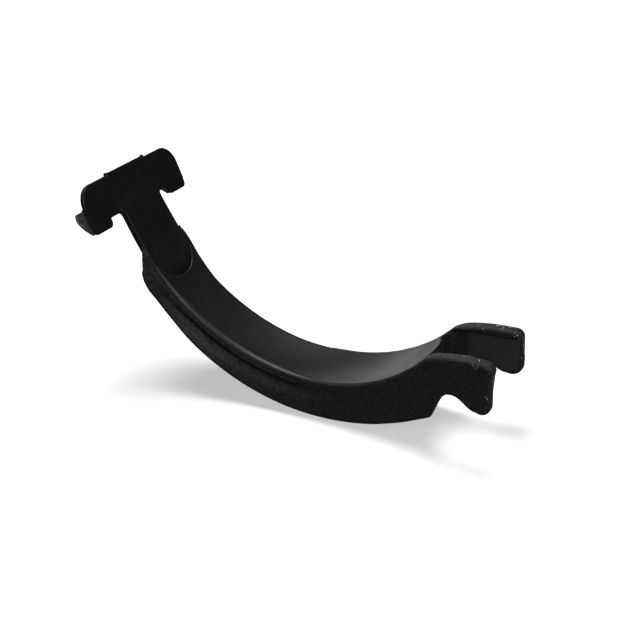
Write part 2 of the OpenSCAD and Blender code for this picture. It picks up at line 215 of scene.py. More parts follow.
class Grid:
    """Sample points in drawing mm. Only y >= 0 is sampled; the mesh is mirrored to both sides."""

    BAND = 3.0      # the field is clipped to this many steps

    def __init__(self, x_range, y_max, z_range, step):
        self.step = step
        self.x, self.y, self.z = np.ix_(
            samples(*x_range, step), samples(0, y_max, step), samples(*z_range, step))

    def mesh(self, name, field):
        field = np.broadcast_to(field, (self.x.size, self.y.size, self.z.size))
        both_sides = np.concatenate([field[:, :0:-1, :], field], axis=1)
        scaled = np.clip(both_sides / self.step, -self.BAND, self.BAND)
        volume = openvdb.FloatGrid(background=self.BAND)
        volume.copyFromArray(np.ascontiguousarray(scaled).astype(np.float32))
        points, quads = volume.convertToQuads(isovalue=0.0)[:2]
        corner = np.array([self.x[0, 0, 0], -((self.y.size - 1) * self.step), self.z[0, 0, 0]])
        points = points.astype(np.float64) * self.step + corner
        quads = quads[:, ::-1].astype(np.int32)
        mesh = bpy.data.meshes.new(name)
        mesh.vertices.add(len(points))
        mesh.vertices.foreach_set("co", to_scene(points).ravel())
        mesh.loops.add(quads.size)
        mesh.loops.foreach_set("vertex_index", quads.ravel())
        mesh.polygons.add(len(quads))
        mesh.polygons.foreach_set("loop_start", np.arange(0, quads.size, 4, dtype=np.int32))
        mesh.polygons.foreach_set("use_smooth", np.ones(len(quads), dtype=bool))
        mesh.update(calc_edges=True)
        mesh.validate()
        ob = add_object(name, mesh)
        face_outward(mesh)
        return ob


class HeadGrid(Grid):
    """A grid turned with the head plate: x runs out of its front, z up its face.

    bar_x and bar_z are the same points in the drawing.
    """

    def __init__(self, front_range, y_max, up_range, step):
        super().__init__(front_range, y_max, up_range, step)
        self.bar_x, self.bar_z = [
            value.astype(np.float32) for value in self.turn(self.x, self.z)]

    def turn(self, front, up):
        return [HEAD_ORIGIN[axis] + front * HEAD_FRONT[axis] + up * HEAD_UP[axis]
                for axis in (0, 1)]

    def mesh(self, name, field):
        ob = super().mesh(name, field)
        points = to_drawing(read_points(ob.data))
        points[:, 0], points[:, 2] = self.turn(points[:, 0], points[:, 2])
        write_points(ob.data, to_scene(points))
        face_outward(ob.data)
        return ob


# ---------------------------------------------------------------- surfaces of the bar
def outside_arcs(x, z, centres, radii):
    foot_side, fork_side = [
        radial(x, z, centre) - radius for centre, radius in zip(centres, radii)]
    return np.where(x < centres[0][0], foot_side, fork_side)


def saddle_depth(x, z):
    """Depth below the saddle surface, positive inside the bar."""
    return outside_arcs(x, z, SADDLE_CENTRES, SADDLE_RADII)


def under_height(x, z):
    """Height above the underside, positive inside the bar."""
    return -outside_arcs(x, z, UNDER_CENTRES, UNDER_RADII)


def neck_coords(x, z):
    """Distance down along the neck and distance out of its face."""
    return [(x - NECK_ORIGIN[0]) * way[0] + (z - NECK_ORIGIN[1]) * way[1]
            for way in (NECK_DOWN, NECK_OUT)]


def flare(x):
    """How far the ears have turned outward at station x."""
    return np.maximum(x - FLARE_X, 0.0) * math.tan(FLARE)


def edge_half(x, table):
    return (np.interp(x, *table) + flare(x)).astype(np.float32)


def cover_half(x):
    """Half width of the cover, set in from the top edge towards the fork."""
    return edge_half(x, TOP_EDGE) - 1.4 * ease(114, 132, x)


def wall_half(x, z, depth, height):
    """Half width of the outer side: a soft groove under the shoulder, a flare to the bottom."""
    shoulder_depth, groove_depth, groove_width, groove_in = 6.6, 7.4, 2.2, 1.9
    along, out = neck_coords(x, z)
    fade = ease(34, 60, x) * (1.0 - ease(104, 142, x))
    top = edge_half(x, TOP_EDGE)
    below = depth - shoulder_depth
    down = np.clip(below / np.maximum(below + height, 0.5), 0, 1)
    width = top + (edge_half(x, BOTTOM_EDGE) - top) * down ** 0.8
    width = width - groove_in * fade * np.exp(-((depth - groove_depth) / groove_width) ** 2)
    # beside the neck the wall follows the neck's own slope
    root = 18.75 + 0.7 * ease(-15.0, -4.0, along) + 4.5 * np.clip(-out / 9.0, 0, 1) ** 0.9
    part = ease(27.0, 52.0, x)
    return root * (1 - part) + width * part


def bow(x, y):
    """The convex end of the saddle between the ears."""
    start_x, radius = 152.0, 36.0
    return radial(np.maximum(x - start_x, 0.0), y) - radius


def dish(x, y):
    """How far the saddle is hollowed across its width."""
    hollow, rim = 1.15, 1.2
    return hollow * np.clip(1 - (y / (edge_half(x, TOP_EDGE) - rim)) ** 2, 0, 1)


def shoulder(x, y, depth, half):
    """The rounded upper edge shared by the cover and the frame, widest beside the groove."""
    radius = 1.5 + 3.3 * ease(30, 48, x) * (1.0 - ease(96, 150, x))
    return extrude(dish(x, y) - depth, y - half, radius)


# ---------------------------------------------------------------- saddle cover
def build_cover():
    channel_half, channel_end, channel_floor = 16.15, 30.0, -1.1
    mouth_radius, end_half = 17.0, 16.45
    boss_radius, boss_height = 3.3, 8.8
    hole_radius, hole_depth = 1.35, 1.5
    grid = Grid((24, 192), 24.5, (13, 70), 0.42)
    x, y, z = grid.x, grid.y, grid.z
    depth = saddle_depth(x, z)
    height = under_height(x, z)
    along, out = neck_coords(x, z)
    cover = overlap(
        shoulder(x, y, depth, wall_half(x, z, depth, height)),
        depth - COVER_THICKNESS,
        y - cover_half(x) - 0.02,
        join(x - COVER_END, overlap(bow(x, y), y - end_half)),
        mouth_radius - radial(along, y, MOUTH))
    cover = soft_overlap(cover, -along, 0.6)
    cover = cut(cover, overlap(out - channel_floor, y - channel_half, along - channel_end))
    # bosses that take the cover screws
    for screw_x in COVER_SCREWS_X:
        away = radial(x, y, (screw_x, COVER_SCREW_Y))
        boss = overlap(away - boss_radius, 2.4 - depth, boss_height - height)
        cover = soft_join(cover, boss, 0.8)
        cover = cut(cover, overlap(away - hole_radius, hole_depth - depth))
    return grid.mesh("saddle_cover_shell", cover)


# ---------------------------------------------------------------- frame
# Side outlines, points (x, z)
EAR = (
    [(160, 27.0)] + arc(SADDLE_CENTRES[1], SADDLE_RADII[1], 298, 316.2, 12)
    + [(193.4, 49.6), (196.6, 50.7), (200.6, 51.5), (205.3, 52.2), (210.5, 52.7), (216, 52.9),
       (221.0, 52.75)]
    + arc((222.9, 48.2), 4.5, 84, 8, 8)
    + [(227.45, 44), (227.3, 39.5), (227.6, 35.2)]
    + arc((222.0, 31.4), 5.7, 8, -112, 12)
    + [(217.2, 26.4), (214.6, 27.7), (211.6, 29.8), (208.7, 31.3), (205.9, 31.8), (202.9, 31.2),
       (200.4, 29.1), (197.9, 24.2), (194.4, 15.4)]
    + arc(UNDER_CENTRES[1], UNDER_RADII[1], 299.1, 282, 12) + [(160, 6.0)]
)
GRIP = (
    [(199.5, 35), (199.5, 47.4), (226.4, 47.4), (226.4, 34)]
    + arc((222.6, 32.2), 3.8, 0, -100, 7)
    + [(218.4, 28.2), (215.2, 29.4), (210.2, 32.9), (206, 33.7), (202.6, 33.3)]
)
CHEEK = [
    (25.7, 56.4), (24.4, 58.6), (23.6, 61.2), (21.2, 77.2), (21.8, 78.0), (23.8, 76.2),
    (29.8, 67.6), (34.0, 61.0), (40.0, 53.0), (31.0, 50.4), (27.4, 53.9),
]
# Holes from below: stations x, y, radius, height above the underside
FRAME_HOLES = [
    (COVER_SCREWS_X, COVER_SCREW_Y, 1.6, 10.0),
    (COVER_SCREWS_X, COVER_SCREW_Y, 2.36, 7.35),
    ((100.0, 150.0), 12.8, 2.05, 12.0),
]


def bar_body(x, y, z, depth, height, side):
    """The bar without its ears, open at the top where the cover lies."""
    narrowed = overlap(side, y - (22.0 - 4.0 * ease(164, 170, x)))
    under = soft_overlap(np.where(x > 166, narrowed, side), -height, 1.8)
    rounding = shoulder(x, y, depth, side_half := y - side)
    body = overlap(soft_overlap(under, COVER_THICKNESS + COVER_GAP - depth, 0.1),
                   np.where(x < 166, rounding, -FAR))
    wall = soft_overlap(soft_overlap(under, -depth, 1.8), cover_half(x) + COVER_GAP - y, 0.1)
    body = overlap(join(body, np.where(x > 117.5, wall, FAR)), bow(x, y))
    return body


def build_ear(x, y, z, depth, side):
    """One ear of the fork, leaning inward at its top and dished on its outer face."""
    lean = 2.0 * ease(34.0, 52.0, z) * ease(194.0, 222.0, x)
    hollow = 0.75 * np.clip(1 - ((x - 213.5) / 11.0) ** 2 - ((z - 41.0) / 11.0) ** 2, 0, 1)
    lower_inner = 16.5 + flare(x) - y - lean
    rim_inner = 14.6 + flare(x) - y - lean
    part = ease(46.2, 49.2, z)
    inner = lower_inner * (1 - part) + rim_inner * part
    ear = extrude(polygon(x, z, EAR), overlap(side + lean + hollow, inner), 1.9)
    ear = soft_overlap(ear, 160.5 - x, 0.2)
    under_cover = (x < COVER_END + COVER_GAP) & (y < cover_half(x) + COVER_GAP)
    return overlap(ear, np.where(under_cover, 3.08 - depth, -FAR))


def grip_seat(x, y, z):
    """Shallow seat for a grip, turned outward with the ear."""
    pivot_y = 16.5
    seat_x = FLARE_X + (x - FLARE_X) * math.cos(FLARE) + (y - pivot_y) * math.sin(FLARE)
    seat_y = pivot_y - (x - FLARE_X) * math.sin(FLARE) + (y - pivot_y) * math.cos(FLARE)
    return overlap(polygon(seat_x, z, GRIP) - 0.1, seat_y - 18.05, 14.4 - seat_y)


def build_frame():
    grid = Grid((19.5, 230), 29.6, (-1.0, 79.2), 0.5)
    x, y, z = grid.x, grid.y, grid.z
    depth = saddle_depth(x, z)
    height = under_height(x, z)
    along, out = neck_coords(x, z)
    side = y - wall_half(x, z, depth, height)
    body = bar_body(x, y, z, depth, height, side)
    body = soft_overlap(body, -along - 1.5, 1.2)
    # sloping end behind the neck
    body = soft_overlap(body, -0.916 * (x - 23.7) - 0.40 * (z - 61.0), 1.6)
    reach = 0.08 + 2.6 * (1 - ease(17.2, 19.5, y)) * ease(172, 180, x)
    solid = soft_join(body, build_ear(x, y, z, depth, side), reach)
    # cheeks beside the neck
    cheek = overlap(soft_overlap(polygon(x, z, CHEEK), side, 0.9), NECK_CHANNEL_HALF - y)
    solid = soft_join(solid, cheek, 1.2)
    # recess for the pad
    recess = overlap(height - 5.5, y - 19.6, overlap(62.0 - x, x - 184.0) * 0.9)
    solid = soft_overlap(solid, -recess, 0.7)
    # hollow between web and cover
    solid = cut(solid, overlap(8.5 - height, y - 15.5, 56.0 - x, x - 180.5, 1.0 - depth))
    # channels for tongue, neck and guide rails, all down to one floor
    for across, end in ((y - 16.07, along - 29.0),
                        (y - NECK_CHANNEL_HALF, along - 0.1),
                        (np.abs(y - 16.9) - 0.92, np.abs(along - 13.5) - 12.5)):
        solid = cut(solid, overlap(across, -4.06 - out, end))
    # stepped hole of the lock screw
    away = radial(along, y, (14.0, 0.0))
    solid = cut(solid, overlap(away - 4.03, out + 6.0))
    solid = cut(solid, overlap(away - 3.06, np.abs(out + 4.5) - 2.0))
    for stations, hole_y, radius, top in FRAME_HOLES:
        for hole_x in stations:
            hole = overlap(radial(x, y, (hole_x, hole_y)) - radius, height - top)
            solid = cut(solid, hole)
    return grid.mesh("frame_moulding", cut(solid, grip_seat(x, y, z)))


# ---------------------------------------------------------------- foot
PLATE_BACK = -2.52          # behind the head plate
PLATE_BOTTOM = -24.6
PIN = (22.0, -11.0)         # boss and hole in the head plate: y, up


def head_outline(y, up):
    """Outline of the head plate, y across and up its face."""
    corner_radius = 11.0
    corner_y = y - 34.0
    corner_up = up + 11.0
    corner = radial(np.maximum(corner_y, 0), np.maximum(corner_up, 0)) - corner_radius
    main = overlap(box((y, up), (0.0, -12.8), (45.0, 12.8)),
                   np.where((corner_y > 0) & (corner_up > 0), corner, -VERY_FAR),
                   -21.6 - up)
    tab = box((y, up), (36.35, -18.75), (8.25, 7.55), 2.8)
    return soft_join(main, tab, 0.8)


def build_foot():
    grid = HeadGrid((-8.5, 16.5), 46.0, (-86.5, 2.0), 0.36)
    front, y, up = grid.x, grid.y, grid.z
    along, out = neck_coords(grid.bar_x, grid.bar_z)
    # head plate with a ridge along its top
    ridge = join(box((y, up), (0.0, -0.1), (17.6, 1.0), 0.3),
                 box((y, up), (17.5, 0.2), (0.8, 1.2), 0.5))
    plate = extrude(join(head_outline(y, up), ridge), overlap(front, -2.5 - front), 0.85)
    plate = join(plate, extrude(ridge, np.abs(front + 1.25) - 1.15, 0.25))
    # neck, scooped along its face and raised at its edges
    out = out - 1.5 * np.clip((-along - 8.0) / 29.0, 0, 1) ** 2
    half = 17.6 + 0.9 * np.clip((along + 37.0) / 37.0, 0, 1)
    away = radial(along, y, MOUTH)
    across = np.where(along > MOUTH[0], away / 17.05, y / (half - 0.9))
    bowl = np.clip(1 - across ** 2, 0, 1) ** 0.8
    scoop = 2.0 * ease(-40.0, -16.0, along) - 0.85 * ease(-14.0, -2.0, along)
    face = -0.1 * ease(-17.0, -2.0, along) - scoop * bowl
    # past the mouth the face carries on the dish of the saddle
    saddle = dish(grid.bar_x, y) - saddle_depth(grid.bar_x, grid.bar_z) + 0.12
    part = ease(-4.0, 4.0, along)
    slab = overlap((out - face) * (1 - part) + saddle * part, -4.0 - out)
    plan = overlap(y - half, join(along + 0.15, away - 16.85))
    edge_radius = 0.12 + 0.98 * (1 - ease(-12.0, -3.0, along))
    neck = extrude(overlap(slab, -48.0 - along), plan, edge_radius)
    # swell where the neck meets the plate
    swell = (4.0 * ease(-8.0, -22.0, up) - 2.6
             - ease(7.0, 17.5, y) * ease(-23.5, -18.0, up)
             + 6.0 * ease(-21.0, -30.0, up))
    neck = soft_overlap(soft_overlap(neck, up + 10.5, 3.0), front - swell, 1.2)
    back = PLATE_BACK - front
    neck = soft_overlap(neck, back - np.maximum(PLATE_BOTTOM - up, 0) * 4.0, 0.4)
    foot = soft_join(neck, plate, 3.0)
    foot = overlap(foot, np.where(up > PLATE_BOTTOM, back, -VERY_FAR))
    tongue = box((along, y, out), (13.0, 0.0, -2.6), (15.0, 16.0, 1.4), 0.4)
    tongue = overlap(tongue, np.where((along > -2.0) & (away < 17.0), out - face, -FAR))
    from_pin = radial(y, up, PIN)
    boss = overlap(from_pin - 2.3, np.abs(front + 3.1) - 1.04)
    peg = box((front, y, up), (-3.2, 9.7, -16.6), (0.85, 2.5, 1.0), 0.2)
    foot = cut(join(foot, tongue, boss, peg), overlap(from_pin - 1.25, front + 1.0))
    return grid.mesh("foot_moulding", foot)


# ---------------------------------------------------------------- clamp
# Side outline of the hook, points (front, up) of the head plate
HOOK = [
    (-3.2, -22), (-3.0, -25.6), (-3.6, -25.55), (-4.2, -25.2), (-5.2, -24.3), (-6.2, -23.3),
    (-7.3, -22.1), (-8.2, -20.9), (-9.1, -19.6), (-9.8, -18.2), (-10.3, -17.1), (-10.6, -16),
    (-10.85, -15), (-11, -13.9), (-10.85, -13.0), (-10.4, -12.5), (-9.8, -12.35),
    (-9.4, -12.7), (-9.3, -13.4), (-9.3, -14.3), (-9.0, -15.5), (-8.6, -16.8), (-8.0, -18.1),
    (-7.3, -19.3), (-6.5, -20.5), (-5.6, -21.6), (-4.4, -22.8),
]
HOOK_Y = 36.6


def build_clamp():
    grid = HeadGrid((-12.0, -1.8), 46.0, (-27.6, -2.5), 0.28)
    front, y, up = grid.x, grid.y, grid.z
    plan = join(box((y, up), (0.0, -12.5), (42.0, 7.5), 3.4),
                box((y, up), (HOOK_Y, -18.2), (7.6, 7.4), 0.8))
    window = box((y, up), (9.7, -12.9), (3.3, 5.4), 0.4)
    slot = box((y, up), (PIN[0], -8.95), (2.4, 4.45), 2.38)
    plan = cut(plan, join(window, slot))
    sheet = extrude(plan, np.abs(front + 3.325) - 0.775, 0.3)
    hook_side = np.abs(y - HOOK_Y) - 7.5 + 1.2 * ease(-17.0, -12.0, up)
    hook = extrude(polygon(front, up, HOOK), hook_side, 0.55)
    return grid.mesh("clamp_moulding", soft_join(sheet, hook, 0.6))


# ---------------------------------------------------------------- material tools
def rgba(colour):
    """A colour input from a socket, a grey level or three channels."""
    if isinstance(colour, bpy.types.NodeSocket):
        return colour
    if isinstance(colour, float):
        colour = (colour,) * 3
    return (*colour, 1.0)


def shade(tone, gain, blue_gain=None):
    """Near-grey colour, with blue scaled on its own where blue_gain is given."""
    return (tone * gain, tone * gain, tone * (blue_gain or gain))


class Look:
    """A material with a Principled shader, and short ways to add nodes to it."""

    def __init__(self, name):
        self.material = bpy.data.materials.new(name)
        self.material.use_nodes = True
        self.tree = self.material.node_tree
        self.tree.nodes.clear()
        self.shader = self.add("BsdfPrincipled")
        self.add("OutputMaterial", {0: self.shader.outputs[0]})

    def add(self, kind, inputs={}, **settings):
        node = self.tree.nodes.new("ShaderNode" + kind)
        for key, value in settings.items():
            setattr(node, key, value)
        self.feed(node, inputs)
        return node

    def feed(self, node, inputs):
        for key, value in inputs.items():
            if isinstance(value, bpy.types.NodeSocket):
                self.tree.links.new(value, node.inputs[key])
            else:
                node.inputs[key].default_value = value

    def finish(self, inputs):
        self.feed(self.shader, inputs)
        return self.material

    @functools.cached_property
    def place(self):
        return self.add("TexCoord").outputs["Object"]

    def axes(self):
        return self.add("SeparateXYZ", {0: self.place}).outputs

    def noise(self, scale, detail, rough, vector=None):
        return self.add("TexNoise", {
            "Scale": scale, "Detail": detail, "Roughness": rough,
            "Vector": vector or self.place}).outputs["Fac"]

    def ramp(self, factor, stops):
        """Colour ramp; stops are (position, grey level or colour)."""
        node = self.add("ValToRGB", {"Fac": factor})
        elements = node.color_ramp.elements
        elements[0].position = stops[0][0]
        elements[1].position = stops[-1][0]
        for position, _ in stops[1:-1]:
            elements.new(position)
        for element, (position, colour) in zip(elements, stops):
            element.position = position
            element.color = rgba(colour)
        return node.outputs["Color"]

    def math(self, operation, *values):
        return self.add("Math", dict(enumerate(values)), operation=operation).outputs[0]

    def times(self, first, second):
        return self.math("MULTIPLY", first, second)

    def plus(self, first, second):
        return self.math("ADD", first, second)

    def mix(self, factor, first, second, **settings):
        return self.add("Mix", {"Factor": factor, "A": rgba(first), "B": rgba(second)},
                        data_type="RGBA", **settings).outputs["Result"]

    def bump(self, height, strength, distance, normal=None):
        inputs = {"Strength": strength, "Distance": distance, "Height": height}
        if normal is not None:
            inputs["Normal"] = normal
        return self.add("Bump", inputs).outputs["Normal"]


# ---------------------------------------------------------------- materials
def painted_glint_mask(look):
    """Clumped dots of painted glint, only on the lit high parts and the far tips of the fork."""
    dots = look.add("TexVoronoi", {"Scale": 780.0, "Vector": look.place})
    dot = look.math("LESS_THAN", dots.outputs["Distance"], 0.25)
    clumps = look.ramp(look.noise(scale=150.0, detail=2.0, rough=0.5), [(0.52, 0.0), (0.60, 1.0)])
    axes = look.axes()

    def beyond(axis, scale, start, end):
        return look.ramp(look.times(axes[axis], scale), [(start, 0.0), (end, 1.0)])

    along = beyond("X", scale=5.0, start=0.42, end=0.52)
    high = beyond("Z", scale=10.0, start=0.495, end=0.53)
    tip = beyond("X", scale=5.0, start=0.560, end=0.568)
    where = look.times(along, look.math("MAXIMUM", high, tip))
    return look.times(look.times(dot, clumps), where)


def moulded_black(name, tone, rough, grain=0.00006, coarse=0.0, glint_specks=0.0, spec=0.5, edge_highlight_strength=0.25):
    """Black moulded plastic with fine grain, slow changes of sheen and sharp edges painted paler as a
    painted edge highlight.

    grain, coarse and the glint specks are bump heights in metres; coarse also mottles the colour, and
    the glint specks also paint pale dots of painted glint into the colour.
    """
    look = Look(name)
    slow = look.noise(scale=26.0, detail=3.0, rough=0.5)
    mid = look.noise(scale=160.0, detail=4.0, rough=0.6)
    fine = look.noise(scale=2600.0, detail=3.0, rough=0.6)
    colour = look.ramp(mid, [(0.3, shade(tone, 0.72, 0.75)), (0.7, shade(tone, 1.3, 1.34))])
    # sharp edges are painted paler in patches, a painted edge highlight, and are smoother
    edge = look.ramp(look.add("NewGeometry").outputs["Pointiness"],
                     [(0.5, 0.0), (0.535, 0.35), (0.62, 1.0)])
    painted_edge_highlight = look.times(edge, look.times(mid, edge_highlight_strength))
    colour = look.mix(painted_edge_highlight, colour, shade(tone, 4.5, 4.6))
    normal = look.bump(fine, strength=0.9, distance=grain)
    if coarse:
        mottle = look.ramp(look.noise(scale=1150.0, detail=3.0, rough=0.8),
                           [(0.38, 0.4), (0.50, 1.1), (0.64, 5.0)])
        colour = look.mix(1.0, colour, mottle, blend_type="MULTIPLY")
        texture = look.noise(scale=520.0, detail=5.0, rough=0.62)
        normal = look.bump(texture, strength=0.9, distance=coarse, normal=normal)
    if glint_specks:
        mask = painted_glint_mask(look)
        normal = look.bump(mask, strength=1.0, distance=glint_specks, normal=normal)
        # pale dots painted into the colour: painted glints on the lit tops of the fork
        colour = look.mix(mask, colour, 0.40)
    sheen = look.plus(look.times(slow, 0.30), rough - 0.15)
    sheen = look.plus(sheen, look.times(look.math("SUBTRACT", fine, 0.5), 0.16))
    return look.finish({
        "Base Color": colour,
        "Roughness": look.math("SUBTRACT", sheen, look.times(painted_edge_highlight, 0.35)),
        "Specular IOR Level": spec,
        "Normal": normal})


def rubber(name, tone):
    look = Look(name)
    fine = look.noise(scale=900.0, detail=4.0, rough=0.65)
    slow = look.noise(scale=60.0, detail=3.0, rough=0.5)
    return look.finish({
        "Base Color": look.ramp(slow, [(0.3, shade(tone, 0.8)), (0.75, shade(tone, 1.5, 1.45))]),
        "Roughness": look.plus(look.times(fine, 0.2), 0.68),
        "Specular IOR Level": 0.35,
        "Normal": look.bump(fine, strength=0.8, distance=0.00008)})


def metal(name, colour, rough):
    """Metal with fine lines drawn out along X."""
    look = Look(name)
    lines = look.add("Mapping", {"Scale": (1.0, 14.0, 14.0), "Vector": look.place})
    fine = look.noise(scale=420.0, detail=5.0, rough=0.6, vector=lines.outputs["Vector"])
    slow = look.noise(scale=90.0, detail=3.0, rough=0.5)
    stops = [(position, tuple(value * gain for value in colour))
             for position, gain in ((0.25, 0.82), (0.75, 1.08))]
    return look.finish({
        "Base Color": look.ramp(slow, stops),
        "Metallic": 1.0,
        "Roughness": look.plus(look.times(fine, 0.22), rough - 0.1),
        "Normal": look.bump(fine, strength=0.6, distance=0.00002)})


def smooth_plastic(name, colour):
    look = Look(name)
    fine = look.noise(scale=1400.0, detail=3.0, rough=0.6)
    slow = look.noise(scale=45.0, detail=3.0, rough=0.5)
    darker = tuple(value * 0.9 for value in colour)
    return look.finish({
        "Base Color": look.ramp(slow, [(0.3, darker), (0.7, colour)]),
        "Roughness": look.plus(look.times(slow, 0.15), 0.38),
        "Subsurface Weight": 0.05,
        "Subsurface Radius": (0.001, 0.001, 0.001),
        "Normal": look.bump(fine, strength=0.5, distance=0.00003)})


def knit(name, tone):
    """Black knitted cover: rows of small loops along the pad, with painted shade between the loops,
    painted highlight on their tops and a soft fuzzy sheen.
    """
    loop_width, row_pitch = 0.0011, 0.0015      # metres across and along the pad
    look = Look(name)
    axes = look.axes()
    wobble = look.noise(scale=300.0, detail=2.0, rough=0.5)
    across = look.times(axes["Y"], 2 * math.pi / loop_width)
    along = look.times(axes["X"], 2 * math.pi / row_pitch)
    across = look.plus(across, look.times(wobble, 1.2))
    # each row bends with the loops it crosses
    loops = look.math("ABSOLUTE", look.math("SINE", look.times(across, 0.5)))
    rows = look.math("SINE", look.plus(along, look.times(loops, 2.4)))
    height = look.plus(look.times(loops, 0.65), look.times(rows, 0.35))
    fuzz = look.noise(scale=3200.0, detail=2.0, rough=0.6)
    # colour follows the loop height: painted shade in the valleys between loops, painted highlight on
    # the loop tops
    colour = look.ramp(look.plus(look.times(height, 0.5), look.times(fuzz, 0.35)), [
        (0.05, shade(tone, 0.35)), (0.55, shade(tone, 1.0, 1.05)), (0.95, shade(tone, 2.0, 2.1))])
    normal = look.bump(height, strength=0.9, distance=0.00022)
    return look.finish({
        "Base Color": colour,
        "Roughness": 0.92,
        "Specular IOR Level": 0.2,
        "Sheen Weight": 0.35,
        "Sheen Roughness": 0.5,
        "Sheen Tint": (0.5, 0.5, 0.55, 1),
        "Normal": look.bump(fuzz, strength=0.5, distance=0.00008, normal=normal)})


FRAME_PLASTIC = moulded_black("frame_plastic", tone=0.0032, rough=0.58, coarse=0.0009,
                              glint_specks=0.0003, spec=0.15)
COVER_PLASTIC = moulded_black("cover_plastic", tone=0.0026, rough=0.42, grain=0.00009, spec=0.15)
FOOT_PLASTIC = moulded_black("foot_plastic", tone=0.0016, rough=0.50, grain=0.00004, spec=0.11,
                             edge_highlight_strength=0.2)
CLAMP_PLASTIC = moulded_black("clamp_plastic", tone=0.009, rough=0.46, spec=0.45)
BOARD = moulded_black("board_plastic", tone=0.03, rough=0.6, grain=0.00003)
RUBBER = rubber("grip_rubber", tone=0.0035)
STEEL = metal("plated_steel", colour=(0.46, 0.46, 0.48), rough=0.28)
SPRING = metal("spring_steel", colour=(0.5, 0.5, 0.53), rough=0.22)
BRASS = metal("turned_brass", colour=(0.72, 0.52, 0.22), rough=0.25)
ACETAL = smooth_plastic("guide_acetal", colour=(0.045, 0.045, 0.046))
KNIT = knit("pad_knit", tone=0.03)


# ---------------------------------------------------------------- moulded pieces
def fit(ob, material, carrier, replaced):
    """Paints a built piece and puts it in place of a CAD piece."""
    ob.data.materials.append(material)
    for face in ob.data.polygons:
        face.material_index = 0
    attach(ob, carrier)
    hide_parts(replaced)


for build, material, slot, carrier, replaced in (
        (build_cover, COVER_PLASTIC, "moulded_cover", "frame", "saddle_cover"),
        (build_frame, FRAME_PLASTIC, "moulded_frame", "frame", "frame_shell"),
        (build_foot, FOOT_PLASTIC, "moulded_foot", "foot", "foot_arm"),
        (build_clamp, CLAMP_PLASTIC, "moulded_clamp", "clamp", "clamp_slider")):
    piece = build()
    fit(piece, material, carrier, replaced)
    relax = piece.modifiers.new("relax", "SMOOTH")
    relax.factor = 0.5
    relax.iterations = 2

# ---------------------------------------------------------------- CAD pieces that stay
# name, material, bevel width in metres
for name, material, bevel_width in (
        ("cover_screws", STEEL, 0.0002), ("spine_strip", STEEL, 0.0),
        ("spine_screws", STEEL, 0.0002), ("pad_backing", BOARD, 0.0),
        ("pad_studs", BOARD, 0.0002), ("fork_grip_near", RUBBER, 0.0005),
        ("fork_grip_far", RUBBER, 0.0005), ("slide_guides", ACETAL, 0.0002),
        ("lock_nut", BRASS, 0.0002), ("pressure_shoe", ACETAL, 0.0002),
        ("stop_pin", STEEL, 0.0002), ("back_plate", STEEL, 0.0002),
        ("back_plate_screws", STEEL, 0.0002), ("clamp_springs", SPRING, 0.0001),
        ("hook_liners", RUBBER, 0.0002), ("lock_screw", STEEL, 0.0003),
        ("lock_knob", CLAMP_PLASTIC, 0.0005)):
    ob = NODES[name]
    for slot in ob.material_slots:
        slot.material = material
    if not ob.material_slots:
        ob.data.materials.append(material)
    if bevel_width:
        bevel = ob.modifiers.new("edge", "BEVEL")
        bevel.width = bevel_width
        bevel.segments = 2
        bevel.limit_method = "ANGLE"
        bevel.angle_limit = math.radians(35)

# ---------------------------------------------------------------- shoulder pad
PAD_ANGLES = (237.6, 293.4)     # ends of the pad on the underside arcs, degrees
LOW_ANGLE = 270                 # where the two arcs meet
PAD_HALF = 18.4
PAD_LENGTH = 120.0
PAD_THICKNESS = 4.2
RIM_DEPTH = 1.9                 # depth of the pad's rim in the bar
RECESS_HALF = 19.3


def pad_point(part, y, depth):
    """Scene point at a part (0 to 1) of the pad's length, at a depth into the bar."""
    foot_radius, fork_radius = UNDER_RADII
    foot_length = foot_radius * math.radians(LOW_ANGLE - PAD_ANGLES[0])
    fork_length = fork_radius * math.radians(PAD_ANGLES[1] - LOW_ANGLE)
    travel = part * (foot_length + fork_length)
    if travel < foot_length:
        angle = math.radians(PAD_ANGLES[0]) + travel / foot_radius
        centre = UNDER_CENTRES[0]
        radius = foot_radius - depth
    else:
        angle = math.radians(LOW_ANGLE) + (travel - foot_length) / fork_radius
        centre = UNDER_CENTRES[1]
        radius = fork_radius - depth
    return to_scene((centre[0] + radius * math.cos(angle), y,
                     centre[1] + radius * math.sin(angle)))


def build_pad():
    """A crowned strip with rounded ends, made of an outer and an inner skin."""
    length_steps, width_steps, end_round = 84, 26, 5.0
    bm = bmesh.new()
    for outer in (True, False):
        rows = []
        for i in range(length_steps + 1):
            part = i / length_steps
            from_end = min(part, 1 - part) * PAD_LENGTH
            half = PAD_HALF
            if from_end <= end_round:
                turn = math.sqrt(1 - ((end_round - from_end) / end_round) ** 2)
                half = PAD_HALF * (turn * 0.25 + 0.75)
            row = []
            for j in range(width_steps + 1):
                across = -1 + 2 * j / width_steps
                edge = min(1.0, (1 - abs(across)) * PAD_HALF / 2.6) * min(1.0, from_end / 2.2)
                puff = math.sqrt(edge)
                if outer:
                    crown = 0.45 * (1 - across * across) * min(1, from_end / 12)
                    depth = RIM_DEPTH - (RIM_DEPTH + 0.25) * puff - crown
                else:
                    depth = RIM_DEPTH + (PAD_THICKNESS - RIM_DEPTH) * puff
                point = pad_point(0.006 + part * 0.988, across * half, depth)
                row.append(bm.verts.new(point))
            rows.append(row)
        for row, following in zip(rows, rows[1:]):
            for j in range(width_steps):
                corners = [row[j], following[j], following[j + 1], row[j + 1]]
                bm.faces.new(corners if outer else corners[::-1])
    bmesh.ops.remove_doubles(bm, verts=bm.verts, dist=0.00004)
    bmesh.ops.recalc_face_normals(bm, faces=bm.faces)
    mesh = bpy.data.meshes.new("shoulder_pad_cover")
    bm.to_mesh(mesh)
    bm.free()
    return add_object("shoulder_pad_cover", mesh)


